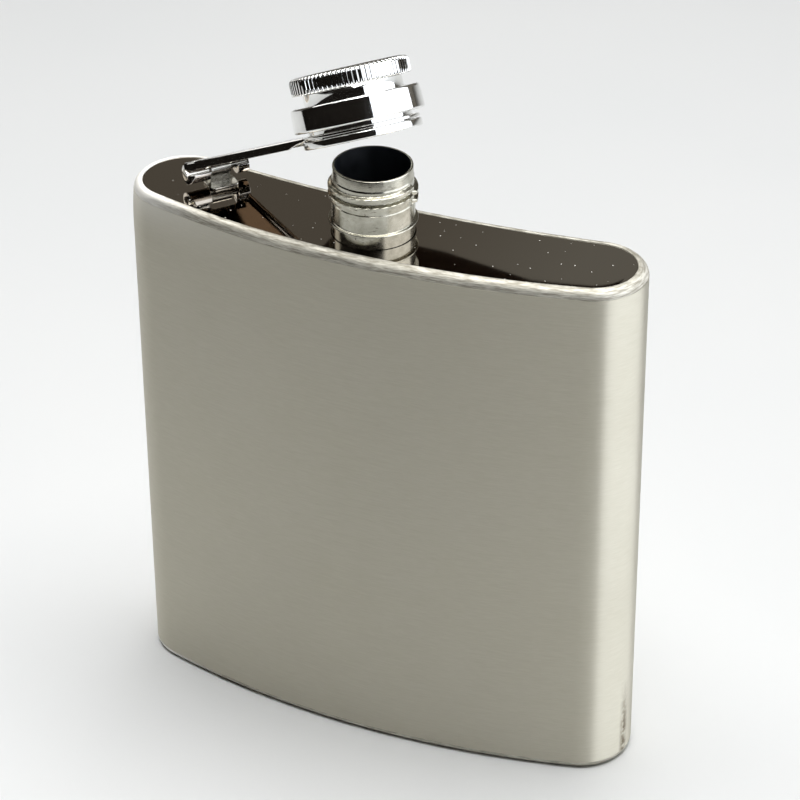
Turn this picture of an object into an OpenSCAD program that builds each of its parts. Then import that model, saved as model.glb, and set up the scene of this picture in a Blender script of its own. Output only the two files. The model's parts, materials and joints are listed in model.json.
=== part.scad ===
// Hip flask: a flat, gently curved steel bottle with a screw cap that is held
// by a hinged arm. The cap turns in the ring of the arm, and the arm swings on
// a slanting pin. Millimetres, +Z up, +Y towards the hollow back.
// The origin is the middle of the base. The arm stands raised by rest_angle.

/* [Body] */
// Width of the body, end to end
body_w = 95; // [90:1:100]
// Thickness of the body at its middle
body_t = 21.2; // [20:0.2:24]
// Height of the body without neck and cap
body_h = 98; // [80:1:130]
// How far the front bulges from its ends to its middle
front_bulge = 7.5; // [6:0.5:9]
// How far the back is hollow from its ends to its middle
back_hollow = 4.7; // [4:0.1:6]
// Corner radius at the front and the back of each end
corner_r = 9.3; // [8.9:0.1:9.5]
// Sheet thickness of the body
wall = 0.6; // [0.5:0.1:0.8]
// Rounding of the ground top rim
rim_r = 1.6; // [1.2:0.1:2]
// Rounding of the bottom rim
foot_r = 1.2; // [0.9:0.1:1.6]
// How far the polished top plate lies below the top of the rim
plate_drop = 0.1; // [0.05:0.05:0.3]

/* [Neck] */
// Height of the neck above the top of the rim
neck_h = 12.5; // [12.4:0.1:13]
// Radius of the pouring bore
bore_r = 6.35; // [6:0.05:6.4]
// Outer radius of the plain lip
lip_r = 6.8; // [6.7:0.05:6.85]
// Outer radius of the thread and of the bead below it
thread_r = 7.6; // [7.4:0.05:7.6]
// Distance from one thread ridge to the next
thread_pitch = 1.6; // [1.5:0.1:1.8]

/* [Hinge] */
// Angle of the hinge pin in plan, from the width of the body
pin_turn = 52; // [51:1:57]
// Distance of the hinge to the left of the neck
hinge_x = 32.5; // [31:0.5:33]
// Distance of the hinge behind the neck
hinge_y = 4.8; // [3.8:0.1:4.8]
// Height of the pin axis above the rim
pin_up = 2.5; // [2.5:0.05:2.6]
// Radius of the pin
pin_r = 0.65; // [0.6:0.01:0.7]
// Length of the whole hinge barrel
barrel_len = 11.4; // [11:0.1:12]
// Angle by which the arm stands open, from closed
rest_angle = 28; // [5:0.5:60]

/* [Cap] */
// Radius of the knurled grip
grip_r = 10.2; // [10:0.1:10.4]
// Radius of the wide skirt under the grip
skirt_r = 11.2; // [11:0.1:11.5]
// Radius of the groove between grip and skirt
groove_r = 8.5; // [8.4:0.1:8.8]
// Radius of the flange that keeps the arm on the cap
flange_r = 10.2; // [10:0.1:10.4]
// Number of ridges around the grip
ridge_count = 76; // [60:1:90]

/* [Hidden] */
$fn = 96;
arc_fn = 1080;

// Outline of the body: a bulging front arc, a hollow back arc, rounded corners
half_w = body_w / 2;
front_R = (half_w^2 + front_bulge^2) / (2 * front_bulge);
back_R = (half_w^2 + back_hollow^2) / (2 * back_hollow);
corner_x = half_w - corner_r;
front_cy = -body_t / 2 + front_R;
back_cy = body_t / 2 + back_R;
front_turn = asin(corner_x / (front_R - corner_r));
back_turn = asin(corner_x / (back_R + corner_r));
front_corner_y = front_cy - (front_R - corner_r) * cos(front_turn);
back_corner_y = back_cy - (back_R + corner_r) * cos(back_turn);
seam_y = (front_corner_y + back_corner_y) / 2;
seam_gap = 0.02;

// Top and bottom plates
plate_t = 0.8;
plate_gap = 0.02;

// Neck, heights above the rim
neck_foot_r = 7.1;
neck_sink = 2.2;
bead_low = 2.3;
bead_t = 0.4;
throat_high = 6.4;
thread_turns = 2;
ridge_h = 1.1;
root_r = lip_r + 0.1;

// Cap, heights above the cap's own bottom
cap_up = 2.4;
flange_t = 1.4;
ring_low = 1.6;
ring_t = 0.55;
skirt_low = 2.85;
skirt_high = 7.05;
grip_low = 9.05;
cap_total = 12.2;
mouth_r = 8.45;
collar_r = 8.85;
insert_low = 3.0;
insert_r = 9.6;
insert_crest_r = 8.0;
insert_root_r = 8.55;
insert_high = skirt_high - 0.8;
insert_thread_low = 5.2;
gasket_low = neck_h + 0.1 - cap_up;
gasket_t = 0.75;
gasket_r = 7.6;
groove_bore_r = 7.9;

// Hinge barrel and arm
arm_gap = 0.25;
knuckle_r = 1.75;
bracket_knuckle_r = 1.25;
arm_hole_r = pin_r + 0.05;
bracket_hole_r = pin_r + 0.02;
near_knuckle = 4.1;
bracket_knuckle = 3.75;
far_knuckle = 2.1;
head_r = 1.05;
head_t = 0.35;
head_gap = 0.05;
strap_back = 0.9;
notch_reach = 1.6;
ring_out_r = 10;
ring_hole_r = 9.1;
arm_low = cap_up + ring_low;
fold_h = 1.5;
fold_t = 0.5;
strap_end_x = -9;
strap_end_y = 3.6;

// The body outline, moved inwards by d: the front arc, less the hollow of the
// back, less what lies outside the rounded corners
module outline(d) {
    far = 2 * corner_r;
    difference() {
        intersection() {
            translate([0, front_cy]) circle(front_R - d, $fn = arc_fn);
            square([2 * (half_w - d), 4 * body_t], center = true);
        }
        translate([0, back_cy]) circle(back_R + d, $fn = arc_fn);
        for (side = [0, 1])
            mirror([side, 0]) {
                difference() {
                    translate([corner_x, front_corner_y])
                        polygon([[0, 0], [far * sin(front_turn), -far * cos(front_turn)], [far, -far], [far, 0]]);
                    translate([corner_x, front_corner_y]) circle(corner_r - d);
                }
                difference() {
                    translate([corner_x, back_corner_y])
                        polygon([[0, 0], [far, 0], [far, 2 * far], [-far * sin(back_turn), 2 * far],
                                 [-far * sin(back_turn), far * cos(back_turn)]]);
                    translate([corner_x, back_corner_y]) circle(corner_r - d);
                }
            }
    }
}

// Points of an arc about [cx, cy], from angle a0 to a1, in n steps
function arc(cx, cy, r, a0, a1, n) =
    [for (i = [0:n]) let (a = a0 + (a1 - a0) * i / n) [cx + r * cos(a), cy + r * sin(a)]];

// The same outline as a ring of points, without the doubled points at the joins
function outline_points(d) = concat(
    arc(0, front_cy, front_R - d, -90 - front_turn, -90 + front_turn, 40),
    arc(corner_x, front_corner_y, corner_r - d, -81 + front_turn, 0, 8),
    arc(corner_x, back_corner_y, corner_r - d, 0, 90 + back_turn, 12),
    arc(0, back_cy, back_R + d, -91 + back_turn, -89 - back_turn, 38),
    arc(-corner_x, back_corner_y, corner_r - d, 90 - back_turn, 180, 12),
    arc(-corner_x, front_corner_y, corner_r - d, 180, 261 - front_turn, 8));

// Sweeps a closed profile round the body. A profile point is [distance inwards
// from the outline, height], and the points run clockwise as seen with the
// outside of the body on the left.
module sweep_round(profile) {
    rings = [for (p = profile) [for (q = outline_points(p[0])) [q[0], q[1], p[1]]]];
    n = len(rings[0]);
    m = len(profile);
    polyhedron(
        points = [for (ring = rings) each ring],
        faces = [for (k = [0:m - 1], i = [0:n - 1])
            let (k2 = (k + 1) % m, i2 = (i + 1) % n)
                [k * n + i, k2 * n + i, k2 * n + i2, k * n + i2]]);
}

// Profile of a quarter ring of radius r and thickness t that rounds an edge at
// height z. up is 1 at the top and -1 at the bottom.
function rim_profile(r, t, z, up) = concat(
    [for (a = [0:15:90]) [r - r * cos(a), z + up * r * sin(a)]],
    [for (a = [90:-30:0]) [r - (r - t) * cos(a), z + up * (r - t) * sin(a)]]);

function reversed(list) = [for (i = [len(list) - 1:-1:0]) list[i]];

// The wall of the body, cut off at the seams of the ends. side is -1 for the
// front and 1 for the back.
module wall_sheet(side) {
    reach = 4 * body_t;
    translate([0, 0, foot_r])
        linear_extrude(body_h - rim_r - foot_r)
            intersection() {
                difference() {
                    outline(0);
                    outline(wall);
                }
                translate([0, seam_y + side * (reach + seam_gap) / 2])
                    square([2 * body_w, reach], center = true);
            }
}

// The bulging front sheet, welded to the back sheet at the two ends
module front_shell() {
    color("#98958a") wall_sheet(-1);
}

// The hollow back sheet
module back_shell() {
    color("#98958a") wall_sheet(1);
}

// The ground weld band that rounds the wall over to the top plate
module top_rim_weld() {
    color("#c9c8be")
        sweep_round(rim_profile(rim_r, wall + 0.3, body_h - rim_r, 1));
}

// The weld band that rounds the wall under to the bottom plate
module bottom_rim_weld() {
    color("#b5b3a9")
        sweep_round(reversed(rim_profile(foot_r, wall + 0.2, foot_r, -1)));
}

// The polished plate that closes the top, with the hole for the neck
module top_plate() {
    color("#55524b")
        translate([0, 0, body_h - plate_drop - plate_t])
            linear_extrude(plate_t)
                difference() {
                    outline(rim_r + plate_gap);
                    circle(neck_foot_r);
                }
}

// The flat plate that closes the bottom, on which the flask stands
module bottom_plate() {
    color("#a5a399") linear_extrude(plate_t) outline(foot_r + plate_gap);
}

// Profile of a rounded ridge that stands on radius r0, from height z, h tall
module ridge(r0, r1, z, h) {
    slope = min(h / 3, r1 - r0);
    polygon([[r0 - 0.2, z], [r0, z], [r1, z + slope], [r1, z + h - slope], [r0, z + h], [r0 - 0.2, z + h]]);
}

// The turned neck: smooth throat with a bead, thread ridges and plain lip
module neck_spout() {
    color("#aaa79c")
        translate([0, 0, body_h])
            rotate_extrude() {
                difference() {
                    union() {
                        translate([0, -neck_sink]) square([neck_foot_r - plate_gap, throat_high + neck_sink]);
                        translate([0, bead_low]) square([thread_r, bead_t]);
                        translate([0, throat_high]) square([root_r, thread_turns * thread_pitch]);
                        translate([0, throat_high]) square([lip_r, neck_h - throat_high]);
                    }
                    translate([0, -neck_sink - 1]) square([bore_r, neck_h + neck_sink + 2]);
                }
                for (i = [1:thread_turns])
                    ridge(root_r, thread_r, throat_high + i * thread_pitch - ridge_h, ridge_h);
            }
}

// Moves its children from the closed arm's place to the hinge frame: the pin
// runs along +X from the barrel's near end, and +Y points at the neck.
module at_hinge() {
    translate([-hinge_x, hinge_y, body_h + pin_up])
        rotate([0, 0, pin_turn])
            translate([-barrel_len / 2, 0, 0])
                mirror([0, 1, 0]) children();
}

// Swings its children open about the pin, from closed to the rest angle
module swung() {
    translate([-hinge_x, hinge_y, body_h + pin_up])
        rotate(a = -rest_angle, v = [cos(pin_turn), sin(pin_turn), 0])
            translate([hinge_x, -hinge_y, -body_h - pin_up]) children();
}

// Extrudes a profile along the pin. In the profile, x is towards the neck and
// y is up.
module along_pin(len) {
    rotate([90, 0, 90]) linear_extrude(len) children();
}

// A sleeve on the pin, from x to x + len
module sleeve(x, len, r) {
    translate([x, 0, 0]) rotate([0, 90, 0]) cylinder(h = len, r = r);
}

// The small bracket on the top plate, with one knuckle on a standing leg and a
// foot that reaches towards the neck
module hinge_bracket() {
    leg_back = -0.9;
    leg_t = 1.5;
    foot_t = 0.3;
    foot_reach = 3;
    foot_spread = 0.8;
    floor_z = -pin_up - plate_drop;
    color("#b9b8b2")
        at_hinge() {
            translate([near_knuckle + arm_gap, 0, 0])
                along_pin(bracket_knuckle)
                    difference() {
                        union() {
                            circle(bracket_knuckle_r);
                            translate([leg_back, floor_z]) square([leg_t, -floor_z]);
                        }
                        circle(bracket_hole_r);
                    }
            translate([near_knuckle + arm_gap - foot_spread, 0, floor_z])
                cube([bracket_knuckle + 2 * foot_spread, foot_reach, foot_t]);
        }
}

// The riveted pin through the three knuckles
module hinge_pin() {
    color("#d2d1cb")
        at_hinge() {
            sleeve(-head_t, barrel_len + 2 * head_t, pin_r);
            sleeve(-head_t, head_t - head_gap, head_r);
            sleeve(barrel_len + head_gap, head_t - head_gap, head_r);
        }
}

// Point on the closed barrel's axis in plan, at distance x from its near end
function barrel_point(x) = [-hinge_x + (x - barrel_len / 2) * cos(pin_turn),
                            hinge_y + (x - barrel_len / 2) * sin(pin_turn)];

// A turned-down edge of the strap, from plan point p to q, with the strap on
// its left
module fold(p, q) {
    v = q - p;
    inwards = [-v[1], v[0]] * fold_t / norm(v);
    translate([0, 0, body_h + arm_low + ring_t - fold_h])
        linear_extrude(fold_h) polygon([p, q, q + inwards, p + inwards]);
}

// The arm: strap with turned-down edges, two knuckles, and the ring at its end
module cap_arm() {
    near = barrel_point(0);
    far = barrel_point(barrel_len);
    ring_near = [strap_end_x, -strap_end_y];
    ring_far = [strap_end_x, strap_end_y];
    back = [-sin(pin_turn), cos(pin_turn)] * strap_back;
    notch_gap = 0.02;
    head_room = 0.15;
    flange_room = 0.4;
    color("#c4c3bd")
        swung() difference() {
            union() {
                translate([0, 0, body_h + arm_low]) {
                    linear_extrude(ring_t)
                        polygon([near + back, near, ring_near, ring_far, far, far + back]);
                    cylinder(h = ring_t, r = ring_out_r);
                }
                fold(near, ring_near);
                fold(ring_far, far);
                at_hinge() {
                    sleeve(0, near_knuckle, knuckle_r);
                    sleeve(barrel_len - far_knuckle, far_knuckle, knuckle_r);
                }
            }
            // the hole of the ring, and room for the flange of the cap below it
            translate([0, 0, body_h]) {
                cylinder(h = cap_total, r = ring_hole_r);
                cylinder(h = arm_low, r = flange_r + flange_room);
            }
            at_hinge() {
                // the pin hole, room for the pin's heads, and the bracket's notch
                sleeve(-1, barrel_len + 2, arm_hole_r);
                sleeve(-1 - head_gap / 2, 1, head_r + head_room);
                sleeve(barrel_len + head_gap / 2, 1, head_r + head_room);
                translate([near_knuckle + notch_gap, -2 * knuckle_r, -2 * knuckle_r])
                    cube([barrel_len - far_knuckle - near_knuckle - 2 * notch_gap,
                          2 * knuckle_r + notch_reach, 4 * knuckle_r]);
            }
        }
}

// Places a cap piece: its profile is turned about the axis of the closed cap
module cap_turned() {
    swung() translate([0, 0, body_h + cap_up]) rotate_extrude() children();
}

// Outline of the knurled grip, with straight V-shaped ridges all round
function knurl(depth) = [for (i = [0:ridge_count * 2 - 1])
    let (a = 180 * i / ridge_count, r = grip_r - (i % 2) * depth)
        [r * cos(a), r * sin(a)]];

// The knurled head of the cap with the groove below it
module cap_grip() {
    ridge_depth = 0.35;
    edge = 0.5;
    core_r = grip_r - ridge_depth - 0.3;
    bore_top = gasket_low + gasket_t;
    color("#d8d7d2") {
        cap_turned()
            polygon([[0, bore_top], [gasket_r, bore_top], [gasket_r, grip_low], [groove_bore_r, grip_low],
                     [groove_bore_r, skirt_high], [groove_r, skirt_high], [groove_r, grip_low],
                     [core_r, grip_low], [core_r, cap_total - edge], [core_r - edge, cap_total],
                     [0, cap_total]]);
        swung() translate([0, 0, body_h + cap_up + grip_low])
            linear_extrude(cap_total - grip_low - edge)
                difference() {
                    polygon(knurl(ridge_depth));
                    circle(core_r);
                }
    }
}

// The wide skirt of the cap, with the collar that turns in the arm's ring
module cap_skirt() {
    taper = 0.2;
    edge = 0.4;
    color("#dddcd7")
        cap_turned()
            polygon([[groove_bore_r, skirt_high], [skirt_r - taper - edge, skirt_high],
                     [skirt_r - taper, skirt_high - edge], [skirt_r, skirt_low + edge],
                     [skirt_r - edge, skirt_low], [collar_r, skirt_low],
                     [collar_r, flange_t], [mouth_r, flange_t], [mouth_r, insert_low],
                     [insert_r, insert_low], [insert_r, insert_high],
                     [groove_bore_r, insert_high]]);
}

// The sleeve inside the skirt, with one thread groove
module cap_thread_insert() {
    play = 0.02;
    groove_z = 5.45;
    groove_w = 0.6;
    color("#e6e4dc")
        cap_turned() difference() {
            translate([insert_crest_r, insert_low + play])
                square([insert_r - play - insert_crest_r, insert_high - insert_low - 2 * play]);
            square([mouth_r, insert_thread_low]);
            translate([0, groove_z]) square([insert_root_r, groove_w]);
        }
}

// The soft disc that seals on the lip of the neck
module cap_gasket() {
    color("#e9e7df")
        cap_turned() translate([0, gasket_low]) square([gasket_r - 0.02, gasket_t - 0.02]);
}

// The flange under the ring that keeps the cap in the arm
module cap_retainer() {
    edge = 0.35;
    color("#cfcec8")
        cap_turned()
            polygon([[mouth_r, 0], [flange_r - edge, 0], [flange_r, edge], [flange_r, flange_t - edge],
                     [flange_r - edge, flange_t], [mouth_r, flange_t]]);
}

front_shell();
back_shell();
top_rim_weld();
top_plate();
bottom_rim_weld();
bottom_plate();
neck_spout();
hinge_bracket();
hinge_pin();
cap_arm();
cap_grip();
cap_skirt();
cap_thread_insert();
cap_gasket();
cap_retainer();
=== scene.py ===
"""Hip flask with a captive screw cap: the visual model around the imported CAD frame, and its studio.

The CAD nodes give every place and size. Shapes are worked out in millimetres and turned into
metres when a mesh is made.
"""

import json
import math

import bpy
from mathutils import Matrix, Vector, noise


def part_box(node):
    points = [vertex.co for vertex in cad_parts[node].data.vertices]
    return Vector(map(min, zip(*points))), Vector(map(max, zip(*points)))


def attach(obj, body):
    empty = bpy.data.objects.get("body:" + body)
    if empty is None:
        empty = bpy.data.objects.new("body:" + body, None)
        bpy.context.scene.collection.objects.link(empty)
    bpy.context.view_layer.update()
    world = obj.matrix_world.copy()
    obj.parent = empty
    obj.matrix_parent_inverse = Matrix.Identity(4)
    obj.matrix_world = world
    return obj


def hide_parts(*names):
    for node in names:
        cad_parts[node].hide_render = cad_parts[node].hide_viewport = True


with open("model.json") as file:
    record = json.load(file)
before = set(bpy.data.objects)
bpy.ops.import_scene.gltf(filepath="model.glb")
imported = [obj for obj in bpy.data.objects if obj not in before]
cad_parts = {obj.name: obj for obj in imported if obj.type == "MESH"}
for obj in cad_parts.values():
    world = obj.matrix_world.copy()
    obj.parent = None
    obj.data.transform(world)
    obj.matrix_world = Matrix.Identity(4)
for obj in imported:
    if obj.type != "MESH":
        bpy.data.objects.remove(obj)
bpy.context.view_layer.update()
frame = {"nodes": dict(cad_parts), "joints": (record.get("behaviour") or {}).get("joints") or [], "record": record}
MM = 0.001
TAU = 2 * math.pi


# ---------------------------------------------------------------- places from the frame
def box_mm(node):
    """Lowest and highest corner of a CAD node, in millimetres."""
    low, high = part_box(node)
    return low / MM, high / MM


def place(x=0.0, y=0.0, z=0.0):
    """A translation by millimetres, as a matrix in metres."""
    return Matrix.Translation(Vector((x, y, z)) * MM)


joints = {joint["name"]: joint for joint in frame["joints"]}
swing = joints["arm_swing"]
pin_at = Vector(swing["pos_m"])
pin_along = -Vector(swing["axis"])
closed_to_rest = math.radians(-swing["range_deg"][0])

# Moves what is drawn for the closed arm to where the arm stands at rest
SWUNG = (
    Matrix.Translation(pin_at)
    @ Matrix.Rotation(closed_to_rest, 4, -pin_along)
    @ Matrix.Translation(-pin_at)
)


def closed_span(node):
    """Lowest and highest height of an arm or cap node once the arm is closed, in millimetres."""
    back = SWUNG.inverted()
    heights = [(back @ v.co).z / MM for v in frame["nodes"][node].data.vertices]
    return min(heights), max(heights)


# Body
HALF_W = box_mm("top_rim_weld")[1].x
FRONT_Y = box_mm("front_shell")[0].y
TOP = box_mm("top_rim_weld")[1].z
RIM_LOW = box_mm("top_rim_weld")[0].z
RIM_R = TOP - RIM_LOW
FOOT_R = box_mm("bottom_rim_weld")[1].z
SEAM_Y = box_mm("back_shell")[0].y
PLATE_TOP = box_mm("top_plate")[1].z
PLATE_LOW = box_mm("top_plate")[0].z
BULGE = 7.5
HOLLOW = 4.7
CORNER_R = 9.3
WALL = 0.6
PLATE_CROWN = 0.09

# The hinge end of the body was ground further down than the rest
WORN_DEEP = 0.35
WORN_HIGH = 6.0
WORN_FROM_X = -2.0

# Neck, heights above the top of the rim
NECK_TOP = box_mm("neck_spout")[1].z - TOP
NECK_LOW = box_mm("neck_spout")[0].z - TOP
THREAD_R = box_mm("neck_spout")[1].x
MOUNTS = {mount["name"]: mount for mount in frame["record"]["mounts"]}
BORE_R = MOUNTS["neck_bore"]["dims"]["r_mm"]
LIP_R = BORE_R + 0.45
FOOT_NECK_R = THREAD_R - 0.52
PITCH = 1.6

# Cap, heights above its own mouth
CAP_LOW = closed_span("cap_retainer")[0]
CAP_HIGH = closed_span("cap_grip")[1] - CAP_LOW
SKIRT_HIGH = closed_span("cap_skirt")[1] - CAP_LOW
INSERT_LOW, INSERT_HIGH = (h - CAP_LOW for h in closed_span("cap_thread_insert"))
GASKET_LOW, GASKET_HIGH = (h - CAP_LOW for h in closed_span("cap_gasket"))
FLANGE_T = closed_span("cap_retainer")[1] - CAP_LOW
CAP = SWUNG @ place(z=CAP_LOW)
GRIP_R = 10.2
SKIRT_R = 11.2
GROOVE_R = 8.5
FLANGE_R = 10.2
GROOVE_BORE_R = 7.9
GASKET_R = 7.55
MOUTH_R = 8.45
GRIP_LOW = SKIRT_HIGH + 2.0

# Hinge barrel. Its own frame has X towards the neck, Y along the pin from the
# near end of the barrel, and Z up.
BARREL = 11.4
NEAR_KNUCKLE = 4.1
BRACKET_KNUCKLE = 3.75
FAR_KNUCKLE = 2.1
KNUCKLE_GAP = 0.25
KNUCKLE_R = 1.75
PIN_R = 0.65
towards_neck = Vector((pin_along.y, -pin_along.x, 0))
BARREL_FRAME = Matrix.Translation(pin_at - pin_along * BARREL / 2 * MM) @ Matrix(
    (towards_neck, pin_along, Vector((0, 0, 1)))
).transposed().to_4x4()
PLATE_BELOW_PIN = pin_at.z / MM - PLATE_TOP


# ---------------------------------------------------------------- mesh helpers
def make(name, verts, faces, matrix=None, sharp=35.0):
    """A mesh object from points in millimetres, smooth but for edges sharper than the angle.
    The matrix moves the points, so the object itself stays at the origin."""
    mesh = bpy.data.meshes.new(name)
    mesh.from_pydata([Vector(v) * MM for v in verts], [], faces)
    if matrix is not None:
        mesh.transform(matrix)
    mesh.validate()
    mesh.polygons.foreach_set("use_smooth", [True] * len(mesh.polygons))
    mesh.set_sharp_from_angle(angle=math.radians(sharp))
    obj = bpy.data.objects.new(name, mesh)
    bpy.context.scene.collection.objects.link(obj)
    flatten_shading(obj)
    return obj


def flatten_shading(obj):
    """Weights the normals by area, so a large face stays flat beside a small rounding."""
    modifier = obj.modifiers.new("normals", "WEIGHTED_NORMAL")
    modifier.weight = 100
    modifier.keep_sharp = True


def fillet(corners, steps=4):
    """A closed outline from corners (x, y, radius), each rounded by its radius."""
    out = []
    n = len(corners)
    for i, (x, y, r) in enumerate(corners):
        here = Vector((x, y))
        before = Vector(corners[i - 1][:2]) - here
        after = Vector(corners[(i + 1) % n][:2]) - here
        if r <= 0:
            out.append(here)
            continue
        a, b = before.normalized(), after.normalized()
        half = a.angle(b) / 2
        reach = min(r / math.tan(half), before.length * 0.49, after.length * 0.49)
        r = reach * math.tan(half)
        middle = here + (a + b).normalized() * (r / math.sin(half))
        start, end = here + a * reach - middle, here + b * reach - middle
        turn = start.angle_signed(end)
        for k in range(steps + 1):
            out.append(middle + Matrix.Rotation(-turn * k / steps, 2) @ start)
    return [(p.x, p.y) for p in out]


def closed_rings(rings, caps=False):
    """Quads between rings of points. Without caps the last ring joins the first."""
    n = len(rings[0])
    verts = [p for ring in rings for p in ring]
    faces = []
    for k in range(len(rings) if not caps else len(rings) - 1):
        a, b = k * n, ((k + 1) % len(rings)) * n
        for i in range(n):
            j = (i + 1) % n
            faces.append((a + i, a + j, b + j, b + i))
    if caps:
        faces.append(tuple(reversed(range(n))))
        faces.append(tuple(range((len(rings) - 1) * n, len(rings) * n)))
    return verts, faces


def lathe(name, profile, matrix=None, steps=160, radius=None, sharp=35.0):
    """Turns a closed profile of (radius, height) about Z. Points on the axis become one point.
    radius(angle, r, z) may change the radius of a point."""
    verts, faces, rings = [], [], []
    for r, z in profile:
        if r < 1e-6:
            rings.append([len(verts)])
            verts.append((0, 0, z))
            continue
        ring = []
        for i in range(steps):
            angle = TAU * i / steps
            own = radius(angle, r, z) if radius else r
            ring.append(len(verts))
            verts.append((own * math.cos(angle), own * math.sin(angle), z))
        rings.append(ring)
    for a, b in zip(rings, rings[1:] + rings[:1]):
        if len(a) == 1 and len(b) == 1:
            continue
        for i in range(steps):
            j = (i + 1) % steps
            if len(a) == 1:
                faces.append((a[0], b[j], b[i]))
            elif len(b) == 1:
                faces.append((a[i], a[j], b[0]))
            else:
                faces.append((a[i], a[j], b[j], b[i]))
    return make(name, verts, faces, matrix, sharp)


def arc(cx, cy, r, start, end, steps):
    """Points on an arc, with both of its ends; angles in degrees."""
    out = []
    for k in range(steps + 1):
        a = math.radians(start + (end - start) * k / steps)
        out.append((cx + r * math.cos(a), cy + r * math.sin(a)))
    return out


def outline(inset):
    """The body's outline in plan, moved inwards: bulging front, hollow back, rounded ends."""
    front_r = (HALF_W**2 + BULGE**2) / (2 * BULGE)
    back_r = (HALF_W**2 + HOLLOW**2) / (2 * HOLLOW)
    front_cy, back_cy = FRONT_Y + front_r, -FRONT_Y + back_r
    x = HALF_W - CORNER_R
    front_turn = math.asin(x / (front_r - CORNER_R))
    back_turn = math.asin(x / (back_r + CORNER_R))
    fy = front_cy - (front_r - CORNER_R) * math.cos(front_turn)
    by = back_cy - (back_r + CORNER_R) * math.cos(back_turn)
    f, b = math.degrees(front_turn), math.degrees(back_turn)
    long_steps, front_steps, back_steps = 90, 16, 20
    same_point = 0.02
    r = CORNER_R - inset
    parts = [
        arc(0, front_cy, front_r - inset, -90 - f, -90 + f, long_steps),
        arc(x, fy, r, -90 + f, 0, front_steps),
        arc(x, by, r, 0, 90 + b, back_steps),
        arc(0, back_cy, back_r + inset, -90 + b, -90 - b, long_steps),
        arc(-x, by, r, 90 - b, 180, back_steps),
        arc(-x, fy, r, 180, 270 - f, front_steps),
    ]
    points = []
    for part in parts:
        for p in part:
            if not points or math.dist(p, points[-1]) > same_point:
                points.append(p)
    if math.dist(points[0], points[-1]) < same_point:
        points.pop()
    return points


def round_the_body(name, profile, wobble=None):
    """Sweeps a closed profile of (distance inwards, height) round the body.
    wobble(x, y, inset, z) moves a point inwards by its result."""
    inwards = 0.5
    rings = []
    for inset, z in profile:
        ring = [(x, y, z) for x, y in outline(inset)]
        if wobble:
            inner = outline(inset + inwards)
            moved = []
            for (x, y, _), (ix, iy) in zip(ring, inner):
                share = wobble(x, y, inset, z) / inwards
                moved.append((x + (ix - x) * share, y + (iy - y) * share, z))
            ring = moved
        rings.append(ring)
    verts, faces = closed_rings(rings)
    return make(name, verts, faces)


def boolean(obj, other, operation):
    """Applies a boolean to obj and removes the other object."""
    obj.modifiers.clear()
    modifier = obj.modifiers.new("bool", "BOOLEAN")
    modifier.operation = operation
    modifier.solver = "EXACT"
    modifier.object = other
    graph = bpy.context.evaluated_depsgraph_get()
    mesh = bpy.data.meshes.new_from_object(obj.evaluated_get(graph))
    obj.modifiers.clear()
    obj.data = mesh
    flatten_shading(obj)
    bpy.data.objects.remove(other)
    return obj


def soften(obj, width, angle=40.0, segments=2):
    """Rounds the edges sharper than the angle by a width in millimetres."""
    modifier = obj.modifiers.new("edges", "BEVEL")
    obj.modifiers.move(len(obj.modifiers) - 1, 0)
    modifier.width = width * MM
    modifier.segments = segments
    modifier.limit_method = "ANGLE"
    modifier.angle_limit = math.radians(angle)
    return obj


# ---------------------------------------------------------------- materials
class Nodes:
    """A small builder for a material's node tree."""

    def __init__(self, name):
        self.material = bpy.data.materials.new(name)
        self.material.use_nodes = True
        self.tree = self.material.node_tree
        self.shader = self.tree.nodes["Principled BSDF"]
        places = self.tree.nodes.new("ShaderNodeTexCoord").outputs
        self.coords = places["Object"]
        self.normal = places["Normal"]

    def feed(self, socket, value):
        """Links a value that comes from another node, and sets any other on the socket."""
        if isinstance(value, bpy.types.NodeSocket):
            self.tree.links.new(value, socket)
        else:
            socket.default_value = value

    def add(self, kind, inputs=(), **settings):
        """A new node with its settings and its inputs."""
        node = self.tree.nodes.new(kind)
        for key, value in settings.items():
            setattr(node, key, value)
        for key, value in dict(inputs).items():
            self.feed(node.inputs[key], value)
        return node

    def stretched(self, scale):
        """Object coordinates multiplied by a scale for each axis."""
        return self.add(
            "ShaderNodeMapping", {"Vector": self.coords, "Scale": scale}
        ).outputs["Vector"]

    def noise(self, scale, detail=3.0, vector=None, rough=0.5, distortion=0.0):
        """A noise of features about 1/scale metres wide."""
        return self.add(
            "ShaderNodeTexNoise",
            {
                "Vector": vector or self.coords,
                "Scale": scale,
                "Detail": detail,
                "Roughness": rough,
                "Distortion": distortion,
            },
        ).outputs["Fac"]

    def remap(self, value, from_low, from_high, low, high):
        """A value mapped from one range to another, held inside it."""
        return self.add(
            "ShaderNodeMapRange",
            {
                "Value": value,
                "From Min": from_low,
                "From Max": from_high,
                "To Min": low,
                "To Max": high,
            },
        ).outputs["Result"]

    def math(self, operation, a, b):
        """Two numbers put together by one of the Math node's operations."""
        return self.add("ShaderNodeMath", {0: a, 1: b}, operation=operation).outputs[0]

    def mix(self, share, a, b):
        """One colour turning into another as share goes from 0 to 1."""
        node = self.add("ShaderNodeMix", data_type="RGBA")
        for socket, value in ((0, share), (6, a), (7, b)):
            self.feed(node.inputs[socket], value)
        return node.outputs[2]

    def bump(self, height, strength, distance):
        """A surface direction that follows a height; the distance is in metres."""
        inputs = {"Height": height, "Strength": strength, "Distance": distance}
        return self.add("ShaderNodeBump", inputs).outputs["Normal"]

    def axis(self, name):
        """One of the object coordinates, in metres."""
        return self.add("ShaderNodeSeparateXYZ", {0: self.coords}).outputs[name]

    def set(self, **values):
        """Sets or links the shader's sockets; underscores stand for spaces."""
        for key, value in values.items():
            self.feed(self.shader.inputs[key.replace("_", " ")], value)
        return self.material


def rgb(r, g, b):
    """A solid colour."""
    return (r, g, b, 1.0)


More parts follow.
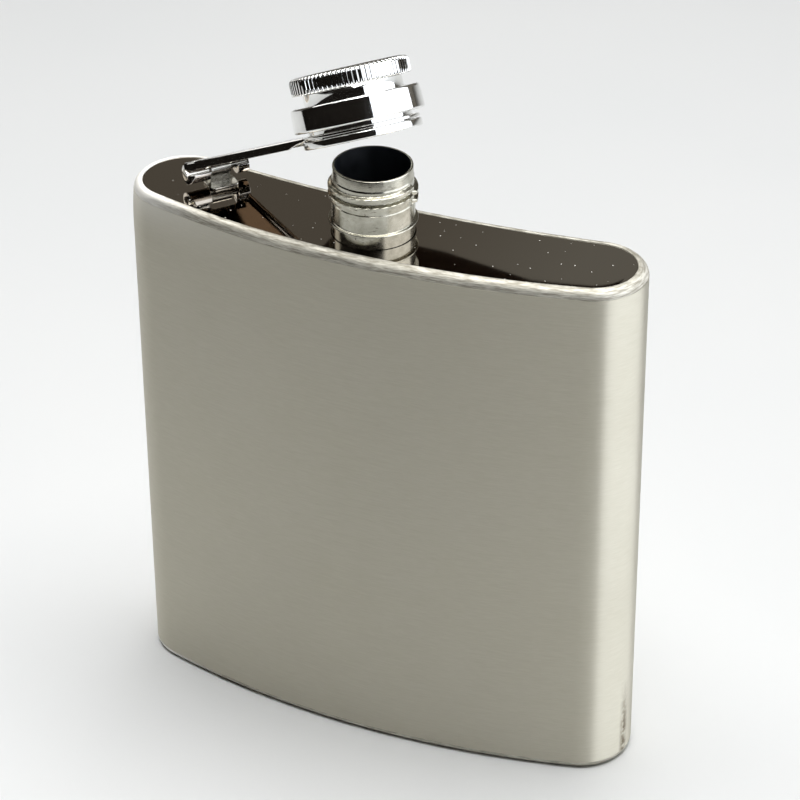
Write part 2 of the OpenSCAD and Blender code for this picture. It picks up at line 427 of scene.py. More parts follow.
def brushed_wall():
    """Steel brushed along its length: short faint lines, and a slightly blotchy tone. The lines
    spread a reflection up and down, so the tangent is turned a quarter from the lines."""
    m = Nodes("brushed_wall_steel")
    fine = m.noise(1.0, 2.0, m.stretched((420, 420, 6500)), 0.6)
    coarse = m.noise(1.0, 3.0, m.stretched((110, 110, 1800)), 0.6)
    cloud = m.noise(45, 4.0)
    lines = m.math("ADD", m.math("MULTIPLY", fine, 0.75), m.math("MULTIPLY", coarse, 0.25))
    tone = m.math("ADD", m.math("MULTIPLY", lines, 0.7), m.math("MULTIPLY", cloud, 0.3))
    steel = m.mix(
        m.remap(tone, 0.36, 0.64, 0, 1), rgb(0.525, 0.50, 0.41), rgb(0.585, 0.56, 0.47)
    )
    x, y, z = (m.axis(name) for name in "XYZ")

    # Painted highlight: the wall is brightened below the rim, most at the hinge end, where its upper edge turns
    # inwards
    sheen_high = 8.0
    painted_sheen = m.math(
        "MULTIPLY",
        m.remap(z, (RIM_LOW - sheen_high) * MM, RIM_LOW * MM, 0, 1),
        m.remap(x, -0.040, -0.005, 0.8, 0.1),
    )
    steel = m.mix(m.math("MULTIPLY", painted_sheen, painted_sheen), steel, rgb(0.95, 0.93, 0.86))

    # A brown stain low down on the right end, beside the seam
    stain_y, stain_low, stain_high = SEAM_Y - 1.7, 6.0, 17.0
    from_stain = m.math("ABSOLUTE", m.math("SUBTRACT", y, stain_y * MM), 0)
    beside = m.remap(from_stain, 0.0002, 0.0014, 1, 0)
    end = m.remap(x, (HALF_W - 1.5) * MM, (HALF_W - 0.5) * MM, 0, 1)
    low = m.remap(z, stain_low * MM, stain_high * MM, 1, 0)
    stain = m.math("MULTIPLY", m.math("MULTIPLY", beside, end), low)
    broken = m.remap(m.noise(900, 3.0), 0.35, 0.60, 0.15, 1.0)
    stain = m.math("MULTIPLY", stain, broken)
    color = m.mix(stain, steel, rgb(0.13, 0.10, 0.06))
    tangent = m.add("ShaderNodeTangent", direction_type="RADIAL", axis="Z")
    return m.set(
        Metallic=1.0,
        Base_Color=color,
        Roughness=m.remap(tone, 0.3, 0.7, 0.40, 0.46),
        Anisotropic=0.9,
        Anisotropic_Rotation=0.25,
        Tangent=tangent.outputs["Tangent"],
        Normal=m.bump(fine, 0.04, 0.00002),
    )


def ground_rim():
    """A weld band ground by hand: slanting scratches, some deep, and a painted highlight at the hinge end."""
    m = Nodes("ground_rim_steel")

    def scratches(slope, scale, width):
        """Fine lines at a slope in degrees."""
        vector = m.add(
            "ShaderNodeMapping",
            {
                "Vector": m.coords,
                "Rotation": (0, math.radians(slope), math.radians(12)),
                "Scale": (width, width, scale),
            },
        ).outputs["Vector"]
        return m.noise(1.0, 2.0, vector, 0.7)

    slanting = scratches(34, 5400, 420)
    crossing = scratches(-20, 3900, 300)
    patch = m.noise(120, 3.0)
    mixed = m.math(
        "ADD", m.math("MULTIPLY", slanting, 0.62), m.math("MULTIPLY", crossing, 0.38)
    )
    color = m.mix(
        m.remap(mixed, 0.40, 0.60, 0, 1), rgb(0.33, 0.31, 0.255), rgb(0.62, 0.60, 0.53)
    )
    # Painted highlight: the band is painted near white towards the hinge end
    polished = m.remap(m.axis("X"), -0.044, -0.030, 0.9, 0)
    color = m.mix(polished, color, rgb(0.97, 0.96, 0.92))
    return m.set(
        Metallic=1.0,
        Base_Color=color,
        Roughness=m.remap(patch, 0.35, 0.65, 0.60, 0.72),
        Normal=m.bump(mixed, 0.6, 0.00007),
    )


def mirror_plate():
    """Mirror polished plate with a painted darker, browner reflection towards the hinge's end, polishing haze and
    grains of dust.
    """
    m = Nodes("mirror_plate_steel")
    haze = m.noise(60, 3.0)
    grains = m.add(
        "ShaderNodeTexVoronoi",
        {"Vector": m.coords, "Scale": 330.0, "Randomness": 1.0},
        voronoi_dimensions="2D",
    )
    pick = m.add("ShaderNodeSeparateColor", {"Color": grains.outputs["Color"]}).outputs
    size = m.remap(pick["Green"], 0, 1, 0.012, 0.036)
    near = m.math("LESS_THAN", grains.outputs["Distance"], size)
    dust = m.math("MULTIPLY", m.math("GREATER_THAN", pick["Red"], 0.58), near)
    # Painted reflection: the mirror is painted darker and browner towards the hinge's end
    brown, grey = rgb(0.39, 0.35, 0.30), rgb(0.60, 0.58, 0.535)
    steel = m.mix(m.remap(m.axis("X"), 0.004, 0.036, 0, 1), brown, grey)
    smooth = m.remap(haze, 0.3, 0.7, 0.015, 0.06)
    return m.set(
        Metallic=m.remap(dust, 0, 1, 1, 0),
        Base_Color=m.mix(dust, steel, rgb(0.95, 0.92, 0.85)),
        Roughness=m.math("ADD", smooth, m.math("MULTIPLY", dust, 0.6)),
        Normal=m.bump(m.noise(240, 2.0), 0.02, 0.00004),
    )


def turned_steel():
    """The neck: polished, with turning marks and dark scuffs, and painted shade inside its bore."""
    m = Nodes("neck_turned_steel")
    rings = m.noise(1.0, 2.0, m.stretched((60, 60, 9000)), 0.5)
    blotch = m.noise(420, 4.0, rough=0.65)
    scuffs = m.noise(1.0, 3.0, m.stretched((500, 500, 1500)), 0.7, 1.2)
    dark = m.remap(scuffs, 0.60, 0.72, 0, 1)
    base = m.mix(
        m.remap(blotch, 0.35, 0.65, 0, 1), rgb(0.35, 0.34, 0.28), rgb(0.53, 0.515, 0.44)
    )
    flat = m.add(
        "ShaderNodeVectorMath", {0: m.coords, 1: (1, 1, 0)}, operation="MULTIPLY"
    ).outputs["Vector"]
    away = m.add("ShaderNodeVectorMath", {0: flat}, operation="LENGTH").outputs["Value"]
    # Painted shade: the inside of the bore is painted dark and slightly bluish
    bore = m.remap(away, (BORE_R + 0.02) * MM, (BORE_R + 0.12) * MM, 1, 0)
    outside = m.mix(dark, base, rgb(0.20, 0.18, 0.15))
    return m.set(
        Metallic=1.0,
        Base_Color=m.mix(bore, outside, rgb(0.14, 0.152, 0.165)),
        Roughness=m.math(
            "ADD",
            m.remap(blotch, 0.3, 0.7, 0.14, 0.28),
            m.math("MULTIPLY", m.math("ADD", dark, bore), 0.16),
        ),
        Normal=m.bump(rings, 0.12, 0.00003),
    )


def chrome(name, low, high, smooth, rough, over=None):
    """Polished plating with smudges and hairline marks. over(nodes, color) may change the colour."""
    m = Nodes(name)
    smudge = m.noise(260, 4.0, rough=0.6)
    hair = m.noise(1.0, 2.0, m.stretched((900, 2600, 900)), 0.6, 0.8)
    color = m.mix(m.remap(smudge, 0.35, 0.65, 0, 1), rgb(*low), rgb(*high))
    if over:
        color = over(m, color)
    return m.set(
        Metallic=1.0,
        Base_Color=color,
        Roughness=m.remap(smudge, 0.35, 0.7, smooth, rough),
        Normal=m.bump(hair, 0.05, 0.00003),
    )


def plastic(name, low, high, rough):
    """Moulded plastic or rubber with a faint grain."""
    m = Nodes(name)
    grain = m.noise(2200, 3.0)
    cloud = m.noise(180, 3.0)
    color = m.mix(m.remap(cloud, 0.35, 0.65, 0, 1), rgb(*low), rgb(*high))
    return m.set(
        Base_Color=color,
        Roughness=m.remap(grain, 0.3, 0.7, rough - 0.08, rough + 0.08),
        Normal=m.bump(grain, 0.15, 0.00004),
    )


def painted_underside_shade(m, plated):
    """Painted shade: the faces that look down once the arm is closed are painted dark brown."""
    down = SWUNG.to_3x3() @ Vector((0, 0, -1))
    facing = m.add(
        "ShaderNodeVectorMath", {0: m.normal, 1: down}, operation="DOT_PRODUCT"
    ).outputs["Value"]
    return m.mix(m.remap(facing, 0.8, 0.95, 0, 1), plated, rgb(0.10, 0.075, 0.055))


WALL_STEEL = brushed_wall()
RIM_STEEL = ground_rim()
PLATE_STEEL = mirror_plate()
NECK_STEEL = turned_steel()
CAP_CHROME = chrome("cap_chrome", (0.74, 0.74, 0.72), (0.86, 0.86, 0.84), 0.03, 0.09)
ARM_CHROME = chrome(
    "arm_chrome", (0.66, 0.65, 0.62), (0.80, 0.79, 0.76), 0.05, 0.13, painted_underside_shade
)
HINGE_STEEL = chrome("hinge_steel", (0.46, 0.45, 0.40), (0.62, 0.60, 0.54), 0.12, 0.24)
INSERT_PLASTIC = plastic("insert_plastic", (0.74, 0.72, 0.65), (0.84, 0.82, 0.76), 0.45)
GASKET_RUBBER = plastic("gasket_rubber", (0.70, 0.69, 0.64), (0.80, 0.79, 0.74), 0.6)


def finish(obj, material, body, slot, *nodes):
    """Gives a piece its material and its body, and hides the CAD nodes it stands for. The slot is not used."""
    obj.data.materials.clear()
    obj.data.materials.append(material)
    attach(obj, body)
    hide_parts(*nodes)
    return obj


# ---------------------------------------------------------------- body
def hinge_end(x):
    """Share of the wear at x: none right of WORN_FROM_X, and nearly all at the hinge end."""
    return max(0.0, min(1.0, (WORN_FROM_X - x) / HALF_W)) ** 1.2


def build_body():
    """The brushed wall and the two ground weld bands that round it over."""
    wall_low, wall_high = FOOT_R + 0.02, RIM_LOW - 0.02
    worn_low = wall_high - WORN_HIGH

    def worn_edge(x, y, inset, z):
        """The grinding wheel ran over the wall's upper edge at the hinge end."""
        share = max(0.0, (z - worn_low) / WORN_HIGH)
        return WORN_DEEP * hinge_end(x) * share**2

    plain_steps, worn_steps = 10, 12
    heights = [wall_low + (worn_low - wall_low) * k / plain_steps for k in range(plain_steps + 1)]
    heights += [worn_low + WORN_HIGH * k / worn_steps for k in range(1, worn_steps + 1)]
    wall = round_the_body(
        "wall",
        [(0, z) for z in heights] + [(WALL, wall_high), (WALL, wall_low)],
        wobble=worn_edge,
    )
    finish(wall, WALL_STEEL, "flask", "brushed_wall", "front_shell", "back_shell")

    def hand_ground(x, y, inset, z):
        """The rounding is a little uneven all the way round, and lower at the hinge end."""
        waves, uneven = 0.22, 0.05
        if inset > RIM_R + 0.1:
            return 0.0
        seed = Vector((x * waves, y * waves, 3.1))
        worn = WORN_DEEP * hinge_end(x) * (1 - inset / RIM_R)
        return uneven + uneven * noise.noise(seed) + worn

    band = 0.9
    lip_in = RIM_R + 0.32
    top = [(0.02, RIM_LOW)]
    top += arc(RIM_R, RIM_LOW, RIM_R, 180, 90, 10)
    top += [(RIM_R + 0.22, TOP - 0.05), (lip_in, TOP - 0.25), (lip_in, TOP - band)]
    top += [(band, TOP - RIM_R)]
    rim = round_the_body("top_rim", top, wobble=hand_ground)
    finish(rim, RIM_STEEL, "flask", "ground_rim", "top_rim_weld")

    foot = [(0.02, FOOT_R), (0.8, FOOT_R), (FOOT_R, 0.8), (FOOT_R + 0.01, 0.02)]
    foot += arc(FOOT_R, FOOT_R, FOOT_R, 270, 180, 10)
    bottom = round_the_body("bottom_rim", foot)
    finish(bottom, RIM_STEEL, "flask", "ground_rim", "bottom_rim_weld")


def crown(x):
    """How far the polished plate rises above its two ends."""
    return PLATE_CROWN * (1 - (x / HALF_W) ** 2)


def build_plates():
    """The polished top plate with the neck's hole, and the bottom plate."""
    hole = FOOT_NECK_R + 0.16
    outer = outline(RIM_R + 0.34)
    end_top, lip_low = PLATE_TOP - 0.1, PLATE_TOP - 0.35
    steps = 26
    rings = []
    for k in range(steps + 1):
        share = k / steps
        ring = []
        for x, y in outer:
            length = math.hypot(x, y)
            px = x + (x / length * hole - x) * share
            py = y + (y / length * hole - y) * share
            ring.append((px, py, end_top + crown(px)))
        rings.append(ring)
    lip = [(x, y, lip_low) for x, y in outer]
    under = [[(x, y, PLATE_LOW) for x, y, _ in ring] for ring in (rings[0], rings[-1])]
    verts, faces = closed_rings([under[0], lip] + rings + [under[1]])
    plate = make("top_plate_polished", verts, faces)
    finish(plate, PLATE_STEEL, "flask", "mirror_plate", "top_plate")

    base = []
    for gap, z in ((0.04, 0.7), (0.04, 0.12), (0.2, 0.0)):
        base.append([(x, y, z) for x, y in outline(FOOT_R + gap)])
    verts, faces = closed_rings(base, caps=True)
    bottom = make("bottom_plate_brushed", verts, faces)
    finish(bottom, WALL_STEEL, "flask", "base_steel", "bottom_plate")


# ---------------------------------------------------------------- neck
def ridge_share(z, angle, low, turns, crest, flank, seam):
    """Height of a helical ridge, 0 at its root and 1 on its crest. It starts at the seam's
    angle, and each turn dies away beside the seam."""
    # Shares of a turn
    rises_over, ends_at, falls_over = 0.012, 0.99, 0.008
    best = 0.0
    turned = (angle - seam) / TAU % 1.0
    for k in range(int(turns) + 1):
        at = turned + k
        if at > turns:
            continue
        away = abs(z - (low + PITCH * at))
        share = min(1.0, max(0.0, (crest / 2 + flank - away) / flank))
        run_out = min(1.0, turned / rises_over, max(0.0, ends_at - turned) / falls_over)
        best = max(best, share * share * (3 - 2 * share) * run_out)
    return best


def build_neck():
    """The spout: a thin bead low on its throat, two turns of thread, and a plain lip."""
    bead_low, bead_high = 2.32, 2.7
    throat_high = 6.1
    root = LIP_R + 0.12
    edge = 0.22
    outer = [
        (FOOT_NECK_R, NECK_LOW),
        (FOOT_NECK_R, bead_low),
        (THREAD_R - 0.1, bead_low),
        (THREAD_R - 0.02, bead_low + 0.05),
        (THREAD_R, bead_low + 0.14),
        (THREAD_R, bead_high - 0.12),
        (THREAD_R - 0.03, bead_high - 0.04),
        (THREAD_R - 0.1, bead_high),
        (FOOT_NECK_R + 0.12, bead_high + 0.02),
        (FOOT_NECK_R + 0.02, bead_high + 0.1),
        (FOOT_NECK_R, bead_high + 0.24),
        (FOOT_NECK_R, throat_high),
    ]
    thread_top = 10.4
    levels = 86
    step = (thread_top - throat_high) / levels
    outer += [(root, throat_high + step * k) for k in range(1, levels + 1)]
    outer += [(LIP_R + 0.02, thread_top + 0.15), (LIP_R, thread_top + 0.3)]
    outer += [(LIP_R, NECK_TOP - edge)]
    outer += arc(LIP_R - edge, NECK_TOP - edge, edge, 30, 90, 2)
    outer += [(BORE_R + 0.08, NECK_TOP), (BORE_R, NECK_TOP - 0.08)]
    outer += [(BORE_R, NECK_LOW + 0.4), (BORE_R + 0.3, NECK_LOW)]

    thread_low, turns, crest, flank = 6.4, 2.0, 0.5, 0.28
    seam = math.radians(6)
    blend_high = 0.15

    def thread(angle, r, z):
        """The radius of the threaded stretch, which grows out of the throat."""
        if abs(r - root) > 1e-6:
            return r
        share = ridge_share(z, angle, thread_low, turns, crest, flank, seam)
        blend = max(0.0, min(1.0, (z - throat_high) / blend_high))
        return FOOT_NECK_R * (1 - blend) + blend * (root + (THREAD_R - root) * share)

    neck = lathe("neck", outer, place(z=TOP), 360, thread, sharp=40)
    finish(neck, NECK_STEEL, "flask", "neck_steel", "neck_spout")


# ---------------------------------------------------------------- hinge
def along_barrel(name, profile, low, high, matrix=BARREL_FRAME):
    """Extrudes a closed profile of (towards the neck, up) along the pin. low and high may be
    functions of the profile point's first coordinate."""
    ends = []
    for end in (low, high):
        ends.append([(x, end(x) if callable(end) else end, z) for x, z in profile])
    verts, faces = closed_rings(ends, caps=True)
    return make(name, verts, faces, matrix, sharp=30)


def build_hinge():
    """The bracket's knuckle with its leg and foot, and the riveted pin."""
    start = NEAR_KNUCKLE + KNUCKLE_GAP
    floor = -PLATE_BELOW_PIN
    outer_r, hole_r = 1.25, PIN_R + 0.04
    back, front = -0.9, 0.6
    leg = [(back, floor), (front, floor)] + arc(0, 0, outer_r, -55, 215, 30)
    knuckle = along_barrel("bracket", leg, start, start + BRACKET_KNUCKLE)
    past = 9
    hole = lathe(
        "bracket_hole",
        [(0, -past), (hole_r, -past), (hole_r, past), (0, past)],
        BARREL_FRAME
        @ place(y=start + BRACKET_KNUCKLE / 2)
        @ Matrix.Rotation(math.pi / 2, 4, "X"),
        48,
    )
    boolean(knuckle, hole, "DIFFERENCE")
    soften(knuckle, 0.1)
    spread, reach, thick = 0.8, 3.0, 0.3
    foot_plan = fillet(
        [
            (back, start - spread, 0.5),
            (reach, start - spread, 0.8),
            (reach, start + BRACKET_KNUCKLE + spread, 0.8),
            (back, start + BRACKET_KNUCKLE + spread, 0.5),
        ],
        6,
    )
    rings = [[(x, y, floor + h) for x, y in foot_plan] for h in (0.0, thick)]
    verts, faces = closed_rings(rings, caps=True)
    foot = make("bracket_foot", verts, faces, BARREL_FRAME)
    soften(foot, 0.08)
    for obj in (knuckle, foot):
        finish(obj, HINGE_STEEL, "flask", "hinge_steel", "hinge_bracket")

    head, dome = 1.02, 0.3
    near_head = [(0, -dome - 0.04), (head * 0.6, -dome), (head * 0.92, -dome * 0.6)]
    near_head += [(head, -0.16), (head, -0.06), (PIN_R, -0.05)]
    pin = near_head + [(r, BARREL - z) for r, z in reversed(near_head)]
    turned = BARREL_FRAME @ Matrix.Rotation(-math.pi / 2, 4, "X")
    rivet = lathe("hinge_pin_rivet", pin, turned, 48, sharp=50)
    finish(rivet, HINGE_STEEL, "flask", "hinge_steel", "hinge_pin")


# ---------------------------------------------------------------- arm
def build_arm():
    """The strap with turned-down edges, its rolled knuckles and the ring that holds the cap."""
    sheet = 0.55
    fold = 1.5
    bend = 0.45
    ring_high = closed_span("cap_arm")[1]
    ring_low = ring_high - sheet
    web_top = ring_high - pin_at.z / MM
    local = BARREL_FRAME.inverted()

    def to_barrel(x, y):
        """A point of the plan in the barrel's own frame."""
        p = local @ (Vector((x, y, 0)) * MM)
        return Vector((p.x / MM, p.y / MM))

    near, far = Vector((0.0, 0.0)), Vector((0.0, BARREL))
    meets_x, meets_y = -9.2, 3.5
    ring_near, ring_far = to_barrel(meets_x, -meets_y), to_barrel(meets_x, meets_y)
    taper_from = 0.88
    sections = []
    steps = 14
    for k in range(steps + 1):
        t = k / steps
        a, b = near.lerp(ring_near, t), far.lerp(ring_far, t)
        width = (b - a).length
        across = (b - a) / width
        low = fold * max(0.02, (1 - t) / (1 - taper_from)) if t > taper_from else fold
        outer = [(0, -max(low, sheet + 0.02))] + arc(bend, -bend, bend, 180, 90, 3)
        side = [(width - x, z) for x, z in reversed(outer)]
        inner = [(sheet, outer[0][1]), (sheet, -sheet - 0.15), (sheet + 0.15, -sheet)]
        inside = inner + [(width - x, z) for x, z in reversed(inner)]
        loop = outer + side + list(reversed(inside))
        sections.append([(*(a + across * x), web_top + z) for x, z in loop])
    verts, faces = closed_rings(sections, caps=True)
    strap = make("arm_strap", verts, faces, SWUNG @ BARREL_FRAME, sharp=30)

    notch_low, notch_high = NEAR_KNUCKLE + 0.02, BARREL - FAR_KNUCKLE - 0.02
    outside, deep, rounding = -4, 1.7, 0.7
    notch = fillet(
        [
            (outside, notch_low, 0),
            (deep, notch_low, rounding),
            (deep, notch_high, rounding),
            (outside, notch_high, 0),
        ],
        6,
    )
    cut = [[(x, y, z) for x, y in notch] for z in (-6, 6)]
    verts, faces = closed_rings(cut, caps=True)
    boolean(strap, make("notch", verts, faces, SWUNG @ BARREL_FRAME), "DIFFERENCE")

    outer_r, inner_r = KNUCKLE_R, PIN_R + 0.12
    tongue = 2.2
    eye = [(tongue, web_top - 0.02), (0.9, web_top - 0.03)]
    eye += arc(0, 0, outer_r, 72, 344, 34)
    eye += arc(0, 0, inner_r, 340, 40, 25)
    eye += [(1.15, web_top - sheet + 0.02), (tongue, web_top - sheet + 0.02)]
    slope = (ring_near.y - near.y) / (ring_near.x - near.x)
    parts = [strap]
    for low, high in (
        (lambda x: 0.02 + max(0.0, x) * slope, NEAR_KNUCKLE),
        (BARREL - FAR_KNUCKLE, BARREL - 0.02),
    ):
        parts.append(along_barrel("eye", eye, low, high, SWUNG @ BARREL_FRAME))
    for part in parts:
        soften(part, 0.09, 45)

    edge = 0.14
    ring_in, ring_out = 9.1, 10.0
    band = fillet(
        [
            (ring_in, ring_low, edge),
            (ring_out, ring_low, edge),
            (ring_out, ring_high, edge),
            (ring_in, ring_high, edge),
        ],
        3,
    )
    parts.append(lathe("arm_ring", band, SWUNG, 160))
    names = ("arm_strap", "arm_knuckle_near", "arm_knuckle_far", "arm_ring")
    for part, name in zip(parts, names):
        part.name = name
        finish(part, ARM_CHROME, "arm", "arm_chrome", "cap_arm")


# ---------------------------------------------------------------- cap
def build_cap():
    """The knurled grip, the skirt with its collar, the flange, the thread sleeve and the disc."""
    ridges = 76
    depth = 0.42
    core = GRIP_R - depth
    seat = GASKET_HIGH + 0.02
    profile = [(0, seat), (GASKET_R, seat), (GASKET_R, GRIP_LOW)]
    profile += [(GROOVE_BORE_R, GRIP_LOW), (GROOVE_BORE_R, SKIRT_HIGH), (GROOVE_R, SKIRT_HIGH)]
    profile += [(GROOVE_R, GRIP_LOW - 0.12), (GROOVE_R + 0.12, GRIP_LOW), (core, GRIP_LOW)]
    low, high = GRIP_LOW + 0.05, CAP_HIGH - 0.25
    round_r = 0.7
    side_low, side_high = low + 0.14, high - round_r
    profile += [(GRIP_R - 0.12, low), (GRIP_R, side_low)]
    profile += [(GRIP_R, side_low + (side_high - side_low) * k / 3) for k in (1, 2, 3)]
    profile += arc(GRIP_R - round_r, side_high, round_r, 20, 80, 3)
    profile += [(GRIP_R - 1.2, CAP_HIGH - 0.06), (GRIP_R - 3.5, CAP_HIGH - 0.02), (0, CAP_HIGH)]
    flat_share, fade_high = 0.35, 0.25

    def knurl(angle, r, z):
        """Grooves between flat-topped ridges, which fade out under the rounded edge."""
        if r < core or z > high - 0.02:
            return r
        share = 0.5 - 0.5 * math.cos(angle * ridges)
        valley = max(0.0, share - flat_share) / (1 - flat_share)
        fade = min(1.0, (high - z) / fade_high)
        return r - depth * valley**1.3 * fade

    grip = lathe("cap_grip_knurled", profile, CAP, ridges * 10, knurl, sharp=60)
    finish(grip, CAP_CHROME, "cap", "cap_chrome", "cap_grip")

    collar = 8.85
    taper = 0.2
    skirt_low = 2.85
    pocket_r = 9.55
    collar_low, pocket_high = FLANGE_T + 0.02, INSERT_HIGH + 0.02
    skirt = fillet(
        [
            (GROOVE_BORE_R, SKIRT_HIGH, 0),
            (GROOVE_R - 0.02, SKIRT_HIGH, 0),
            (GROOVE_R, SKIRT_HIGH, 0),
            (SKIRT_R - taper, SKIRT_HIGH, 0.45),
            (SKIRT_R, skirt_low, 0.4),
            (collar, skirt_low, 0.12),
            (collar, collar_low, 0),
            (MOUTH_R, collar_low, 0),
            (MOUTH_R, INSERT_LOW, 0),
            (pocket_r, INSERT_LOW, 0),
            (pocket_r, pocket_high, 0),
            (GROOVE_BORE_R, pocket_high, 0),
        ],
        5,
    )
    shell = lathe("cap_skirt_turned", skirt, CAP, 200)
    finish(shell, CAP_CHROME, "cap", "cap_chrome", "cap_skirt")

    edge = 0.3
    flange = fillet(
        [
            (MOUTH_R, 0, 0.15),
            (FLANGE_R, 0, edge),
            (FLANGE_R, FLANGE_T, edge),
            (MOUTH_R, FLANGE_T, 0.1),
        ],
        4,
    )
    retainer = lathe("cap_flange", flange, CAP, 200)
    finish(retainer, CAP_CHROME, "cap", "cap_chrome", "cap_retainer")

    crest_r, root_r, sleeve_r = 8.02, 8.5, 9.5
    low, high = INSERT_LOW + 0.05, INSERT_HIGH - 0.02
    levels = 40
    inside = [(sleeve_r, low), (sleeve_r, high)]
    inside += [(root_r, high - (high - low) * k / levels) for k in range(levels + 1)]
    thread_low, turns, crest, flank = 5.2, 0.5, 0.5, 0.25

    def inner_thread(angle, r, z):
        """Half a turn of ridge inside the sleeve."""
        if r > root_r + 1e-6:
            return r
        share = ridge_share(z, angle, thread_low, turns, crest, flank, 0.0)
        return root_r - (root_r - crest_r) * share

    insert = lathe("cap_thread_sleeve", inside, CAP, 180, inner_thread, sharp=50)
    finish(insert, INSERT_PLASTIC, "cap", "insert_plastic", "cap_thread_insert")

    disc_r, dished = GASKET_R - 0.05, GASKET_LOW + 0.12
    disc = fillet(
        [
            (0, dished, 0),
            (5.6, dished, 0.1),
            (6.1, GASKET_LOW, 0.15),
            (disc_r, GASKET_LOW, 0.15),
            (disc_r, GASKET_HIGH, 0.1),
            (0, GASKET_HIGH, 0),
        ],
        3,
    )
    gasket = lathe("cap_gasket_disc", disc, CAP, 120)
    finish(gasket, GASKET_RUBBER, "cap", "gasket_rubber", "cap_gasket")


build_body()
build_plates()
build_neck()
build_hinge()
build_arm()
build_cap()


# ---------------------------------------------------------------- studio
def build_floor():
    """White paper a hair below the flask."""
    mesh = bpy.data.meshes.new("floor")
    half = 3.0
    mesh.from_pydata(
        [(-half, -half, 0), (half, -half, 0), (half, half, 0), (-half, half, 0)],
        [],
        [(0, 1, 2, 3)],
    )
    floor = bpy.data.objects.new("floor", mesh)
    floor.location.z = -0.0001
    bpy.context.scene.collection.objects.link(floor)
    m = Nodes("floor_paper")
    tone = m.noise(9, 2.0)
    color = m.mix(tone, rgb(0.80, 0.82, 0.83), rgb(0.86, 0.87, 0.87))
    floor.data.materials.append(m.set(Base_Color=color, Roughness=0.5))


def area_light(name, azimuth, elevation, distance, size, brightness, only_gloss=False):
    """A softbox seen from the flask in a direction, facing it. The brightness is that of its
    surface, whatever its size. With only_gloss it is seen in the steel and doesn't light the
    floor."""
    a, e = math.radians(azimuth), math.radians(elevation)
    middle = Vector((0, 0, 0.06))
    way = Vector((math.cos(a) * math.cos(e), math.sin(a) * math.cos(e), math.sin(e)))
    data = bpy.data.lights.new(name, "AREA")
    data.shape = "RECTANGLE"
    data.size, data.size_y = size
    data.energy = brightness * math.pi * size[0] * size[1]
    light = bpy.data.objects.new(name, data)
    light.location = middle + way * distance
    light.rotation_mode = "QUATERNION"
    light.rotation_quaternion = (-way).to_track_quat("-Z", "Y")
    light.visible_diffuse = not only_gloss
    bpy.context.scene.collection.objects.link(light)
    return data


def dark_card(name, verts, faces, low, high):
    """A black cloth card that is seen only in the steel."""
    mesh = bpy.data.meshes.new(name)
    mesh.from_pydata(verts, [], faces)
    card = bpy.data.objects.new(name, mesh)
    bpy.context.scene.collection.objects.link(card)
    m = Nodes(name + "_cloth")
    color = m.mix(m.noise(400, 2.0), rgb(*low), rgb(*high))
    card.data.materials.append(m.set(Base_Color=color, Roughness=0.9, Specular_IOR_Level=0.0))
    card.visible_camera = False
    card.visible_diffuse = False
    card.visible_shadow = False


def build_flag():
    """A black curved card in front, seen only in the steel: the dark room behind the camera."""
    radius, high = 0.42, 0.62
    low_turn, high_turn = math.radians(-172), math.radians(-36)
    steps = 24
    verts, faces = [], []
    for k in range(steps + 1):
        a = low_turn + (high_turn - low_turn) * k / steps
        verts += [(radius * math.cos(a), radius * math.sin(a), z) for z in (0.0, high)]
    for k in range(steps):
        faces.append((2 * k, 2 * k + 2, 2 * k + 3, 2 * k + 1))
    dark_card("flag", verts, faces, (0.008, 0.007, 0.006), (0.016, 0.014, 0.012))


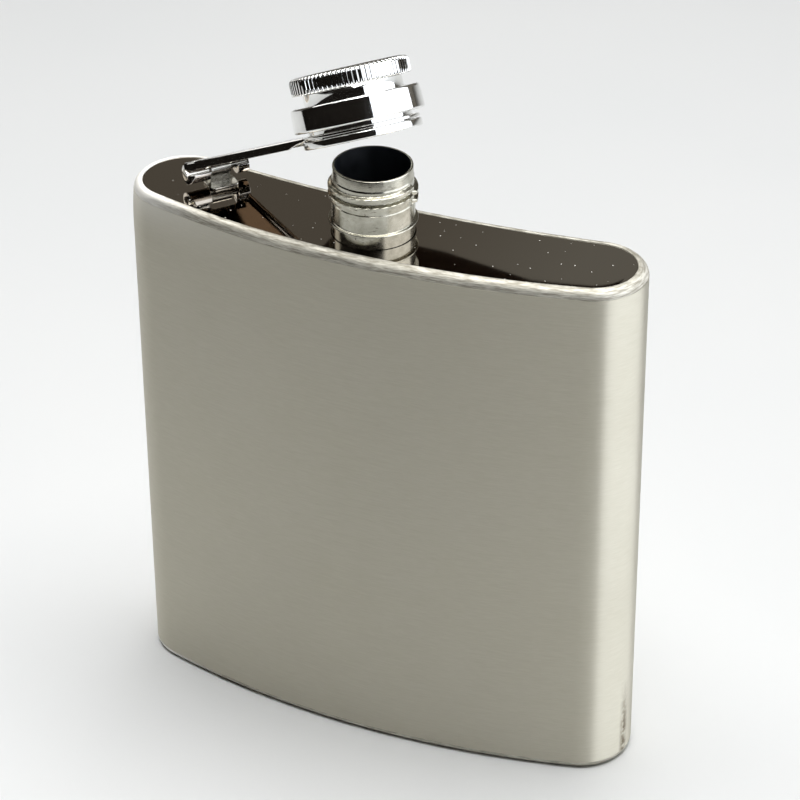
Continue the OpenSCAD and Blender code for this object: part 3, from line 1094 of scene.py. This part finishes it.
def build_light():
    """Three softboxes, and a dim warm room that is brighter behind the flask."""
    area_light("top_softbox", 60, 86, 0.8, (0.7, 0.7), 6.1)
    right = area_light("right_softbox", 6, 28, 0.6, (1.12, 0.9), 2.7, True)
    right.color = (0.93, 0.97, 1.06)
    area_light("left_card", 175, 48, 0.7, (0.8, 0.5), 1.6, True)
    world = bpy.data.worlds.new("studio")
    world.use_nodes = True
    tree = world.node_tree
    way = tree.nodes.new("ShaderNodeTexCoord")
    split = tree.nodes.new("ShaderNodeSeparateXYZ")
    ramp = tree.nodes.new("ShaderNodeMapRange")
    mix = tree.nodes.new("ShaderNodeMix")
    mix.data_type = "RGBA"
    ramp.inputs["From Min"].default_value = -0.2
    ramp.inputs["From Max"].default_value = 0.6
    mix.inputs[6].default_value = rgb(0.03, 0.027, 0.024)
    mix.inputs[7].default_value = rgb(0.150, 0.138, 0.118)
    tree.links.new(way.outputs["Generated"], split.inputs[0])
    tree.links.new(split.outputs["Y"], ramp.inputs["Value"])
    tree.links.new(ramp.outputs["Result"], mix.inputs[0])
    tree.links.new(mix.outputs[2], tree.nodes["Background"].inputs["Color"])
    bpy.context.scene.world = world


def build_camera():
    """A long lens from the front right, looking down on the flask."""
    yaw, pitch, roll = math.radians(25.27), math.radians(31.71), math.radians(-0.447)
    distance = 0.5351
    target = Vector((0.00468, 0.0, 0.06544))
    back = Vector(
        (
            math.sin(yaw) * math.cos(pitch),
            -math.cos(yaw) * math.cos(pitch),
            math.sin(pitch),
        )
    )
    data = bpy.data.cameras.new("camera")
    data.sensor_width = 36.0
    data.lens = 138.72
    data.clip_start, data.clip_end = 0.01, 20
    camera = bpy.data.objects.new("camera", data)
    camera.location = target + back * distance
    camera.rotation_mode = "QUATERNION"
    turn = (-back).to_track_quat("-Z", "Y").to_matrix().to_4x4()
    camera.rotation_quaternion = (turn @ Matrix.Rotation(roll, 4, "Z")).to_quaternion()
    bpy.context.scene.collection.objects.link(camera)
    bpy.context.scene.camera = camera
    return camera.location.copy()


def build_shade(eye):
    """A dark card behind the flask, seen only where the polished plate mirrors it: along the
    plate's near edge, and wider beside the neck."""
    wide_to, slope, straight_to = -1.9, 0.17, 14.0
    away, reach = 0.05, 6.0
    from_x, below_y = -6, 2.5
    near_edge = [(x, y) for x, y in outline(RIM_R + 1.0) if x > from_x and y < below_y]
    near_edge.sort()
    verts, faces = [], []
    for x, y in near_edge:
        wide = wide_to - slope * max(0.0, x - straight_to)
        for py in (max(y, wide), y - reach):
            point = Vector((x, py, PLATE_TOP)) * MM
            way = (point - eye).normalized()
            way.z = -way.z
            verts.append(point + way * away)
    for k in range(len(near_edge) - 1):
        faces.append((2 * k, 2 * k + 2, 2 * k + 3, 2 * k + 1))
    dark_card("shade", verts, faces, (0.010, 0.006, 0.004), (0.020, 0.012, 0.008))


build_floor()
build_flag()
build_light()
build_shade(build_camera())
bpy.context.scene.view_settings.view_transform = "Standard"
